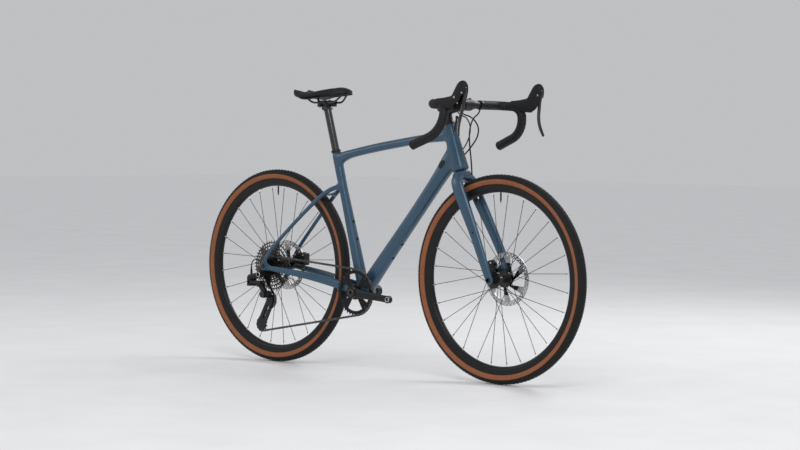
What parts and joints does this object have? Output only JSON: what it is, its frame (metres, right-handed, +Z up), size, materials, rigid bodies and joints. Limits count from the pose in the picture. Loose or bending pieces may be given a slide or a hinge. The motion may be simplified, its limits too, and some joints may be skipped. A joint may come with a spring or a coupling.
{
  "type": "gravel bicycle",
  "caption": "Gravel bicycle with a sloping blue frame, drop handlebar, disc brakes, single chainring drive with a rear derailleur, and tan-walled tyres.",
  "frame": {"origin": "on the ground, midway between the two wheel axles and on the middle plane", "axes": "+X forward, +Y to the rider's left, +Z up"},
  "size_m": [1.7335, 0.493, 1.0068],
  "materials": {
    "paint": "satin metallic blue paint",
    "steel": "satin",
    "rotor": "ground",
    "dark_metal": "black anodised",
    "gloss_black": "gloss black",
    "black_plastic": "matte",
    "black_rubber": "matte",
    "tape": "matte",
    "tyre": "matte with tan side walls",
    "saddle": "matte"
  },
  "bodies": {
    "frame": {"head_tube": "paint", "top_tube": "paint", "down_tube": "paint", "seat_tube": "paint", "bottom_bracket_shell": "paint", "frame_bearings": "steel", "dropouts": "paint", "chainstays": "paint", "seatstays": "paint", "derailleur_hanger": "dark_metal", "derailleur_knuckle": "dark_metal", "seat_collar": "dark_metal", "port_covers": "black_plastic", "rear_axle": "dark_metal", "rear_caliper": "dark_metal", "chain": "steel", "rear_brake_hose": "black_rubber", "shift_housing": "black_rubber"},
    "steering": {"fork": "paint", "stem": "dark_metal", "stem_faceplate": "dark_metal", "headset_spacers": "dark_metal", "handlebar": "dark_metal", "bar_tape": "tape", "lever_hoods": "black_rubber", "front_axle": "dark_metal", "front_caliper": "dark_metal", "front_brake_hose": "black_rubber"},
    "front_wheel": {"front_tyre": "tyre", "front_rim": "dark_metal", "front_spokes": "steel", "front_hub": "dark_metal", "front_rotor": "rotor"},
    "rear_wheel": {"rear_tyre": "tyre", "rear_rim": "dark_metal", "rear_spokes": "steel", "rear_hub": "dark_metal", "rear_rotor": "rotor"},
    "crank": {"crank_arm_right": "dark_metal", "crank_arm_left": "dark_metal", "chainring": "dark_metal"},
    "cassette": {"cassette": "dark_metal"},
    "brake_lever_left": {"brake_lever_left": "gloss_black"},
    "brake_lever_right": {"brake_lever_right": "gloss_black"},
    "shift_paddle": {"shift_paddle": "gloss_black"},
    "front_pad_left": {"front_pad_left": "dark_metal"},
    "front_pad_right": {"front_pad_right": "dark_metal"},
    "rear_pad_left": {"rear_pad_left": "dark_metal"},
    "rear_pad_right": {"rear_pad_right": "dark_metal"},
    "derailleur_outer_link": {"derailleur_outer_link": "dark_metal"},
    "derailleur_inner_link": {"derailleur_inner_link": "dark_metal"},
    "derailleur_cage_pivot": {"derailleur_cage_pivot": "dark_metal"},
    "derailleur_cage": {"derailleur_cage": "dark_metal"},
    "guide_wheel": {"guide_wheel": "black_plastic"},
    "tension_wheel": {"tension_wheel": "black_plastic"},
    "seatpost": {"seatpost": "dark_metal"},
    "saddle": {"saddle_cover": "saddle", "saddle_shell": "black_plastic", "saddle_rails": "dark_metal", "saddle_clamp": "dark_metal"}
  },
  "joints": [
    {"name": "steering", "type": "hinge", "parent": "frame", "child": "steering", "pos_m": [0.34276, 0, 0.70918], "axis": [-0.3256, 0, 0.9455], "range_deg": [-60, 60], "deforming": ["rear_brake_hose", "shift_housing"]},
    {"name": "front_wheel_spin", "type": "hinge", "parent": "steering", "child": "front_wheel", "pos_m": [0.5158, 0, 0.351], "axis": [0, 1, 0], "continuous": true},
    {"name": "rear_wheel_spin", "type": "hinge", "parent": "frame", "child": "rear_wheel", "pos_m": [-0.5158, 0, 0.351], "axis": [0, 1, 0], "continuous": true},
    {"name": "crank_spin", "type": "hinge", "parent": "frame", "child": "crank", "pos_m": [-0.09, 0, 0.278], "axis": [0, 1, 0], "continuous": true, "deforming": ["chain"]},
    {"name": "cassette_spin", "type": "hinge", "parent": "frame", "child": "cassette", "pos_m": [-0.5158, 0, 0.351], "axis": [0, 1, 0], "continuous": true},
    {"name": "guide_wheel_spin", "type": "hinge", "parent": "derailleur_cage", "child": "guide_wheel", "pos_m": [-0.5027, 0, 0.22725], "axis": [0, 1, 0], "continuous": true},
    {"name": "tension_wheel_spin", "type": "hinge", "parent": "derailleur_cage", "child": "tension_wheel", "pos_m": [-0.54602, 0, 0.13712], "axis": [0, 1, 0], "continuous": true},
    {"name": "derailleur_shift", "type": "hinge", "parent": "frame", "child": "derailleur_outer_link", "pos_m": [-0.57, -0.085, 0.291], "axis": [0, 0, 1], "range_deg": [-23, 29], "deforming": ["chain"]},
    {"name": "derailleur_inner_link_swing", "type": "hinge", "parent": "frame", "child": "derailleur_inner_link", "pos_m": [-0.57, -0.068, 0.291], "axis": [0, 0, 1], "range_deg": [-23, 29]},
    {"name": "derailleur_cage_pivot_swing", "type": "hinge", "parent": "derailleur_outer_link", "child": "derailleur_cage_pivot", "pos_m": [-0.525, -0.085, 0.291], "axis": [0, 0, 1], "range_deg": [-29, 23]},
    {"name": "cage_tension", "type": "hinge", "parent": "derailleur_cage_pivot", "child": "derailleur_cage", "pos_m": [-0.506, -0.04775, 0.249], "axis": [0, 1, 0], "range_deg": [-40, 15], "stiffness_Nm_per_rad": 0.6, "deforming": ["chain"]},
    {"name": "brake_lever_left_pull", "type": "hinge", "parent": "steering", "child": "brake_lever_left", "pos_m": [0.52046, 0.203, 0.96671], "axis": [0, 1, 0], "range_deg": [0, 20], "stiffness_Nm_per_rad": 2, "springref_deg": -5.73},
    {"name": "brake_lever_right_pull", "type": "hinge", "parent": "steering", "child": "brake_lever_right", "pos_m": [0.52046, -0.203, 0.96671], "axis": [0, 1, 0], "range_deg": [0, 20], "stiffness_Nm_per_rad": 2, "springref_deg": -5.73},
    {"name": "shift_paddle_swing", "type": "hinge", "parent": "brake_lever_right", "child": "shift_paddle", "pos_m": [0.49846, -0.212, 0.88671], "axis": [1, 0, 0], "range_deg": [0, 20], "stiffness_Nm_per_rad": 0.2, "springref_deg": -5.73},
    {"name": "front_pad_left_slide", "type": "slide", "parent": "steering", "child": "front_pad_left", "axis": [0, -1, 0], "range_m": [0, 0.00035]},
    {"name": "front_pad_right_slide", "type": "slide", "parent": "steering", "child": "front_pad_right", "axis": [0, 1, 0], "range_m": [0, 0.00035]},
    {"name": "rear_pad_left_slide", "type": "slide", "parent": "frame", "child": "rear_pad_left", "axis": [0, -1, 0], "range_m": [0, 0.00035]},
    {"name": "rear_pad_right_slide", "type": "slide", "parent": "frame", "child": "rear_pad_right", "axis": [0, 1, 0], "range_m": [0, 0.00035]},
    {"name": "seatpost_height", "type": "slide", "parent": "frame", "child": "seatpost", "axis": [-0.2756, 0, 0.9613], "range_m": [-0.09, 0.04]},
    {"name": "saddle_tilt", "type": "hinge", "parent": "seatpost", "child": "saddle", "pos_m": [-0.27578, 0, 0.92589], "axis": [0, 1, 0], "range_deg": [-6, 6]}
  ],
  "couplings": [
    {"joint": "cassette_spin", "follows": "crank_spin", "ratio": 2.1053},
    {"joint": "guide_wheel_spin", "follows": "crank_spin", "ratio": -3.3333},
    {"joint": "tension_wheel_spin", "follows": "crank_spin", "ratio": 3.3333},
    {"joint": "derailleur_inner_link_swing", "follows": "derailleur_shift", "ratio": 1},
    {"joint": "derailleur_cage_pivot_swing", "follows": "derailleur_shift", "ratio": -1},
    {"joint": "front_pad_left_slide", "follows": "brake_lever_left_pull", "m_per_rad": 0.0010017},
    {"joint": "front_pad_right_slide", "follows": "brake_lever_left_pull", "m_per_rad": 0.0010017},
    {"joint": "rear_pad_left_slide", "follows": "brake_lever_right_pull", "m_per_rad": 0.0010017},
    {"joint": "rear_pad_right_slide", "follows": "brake_lever_right_pull", "m_per_rad": 0.0010017}
  ]
}
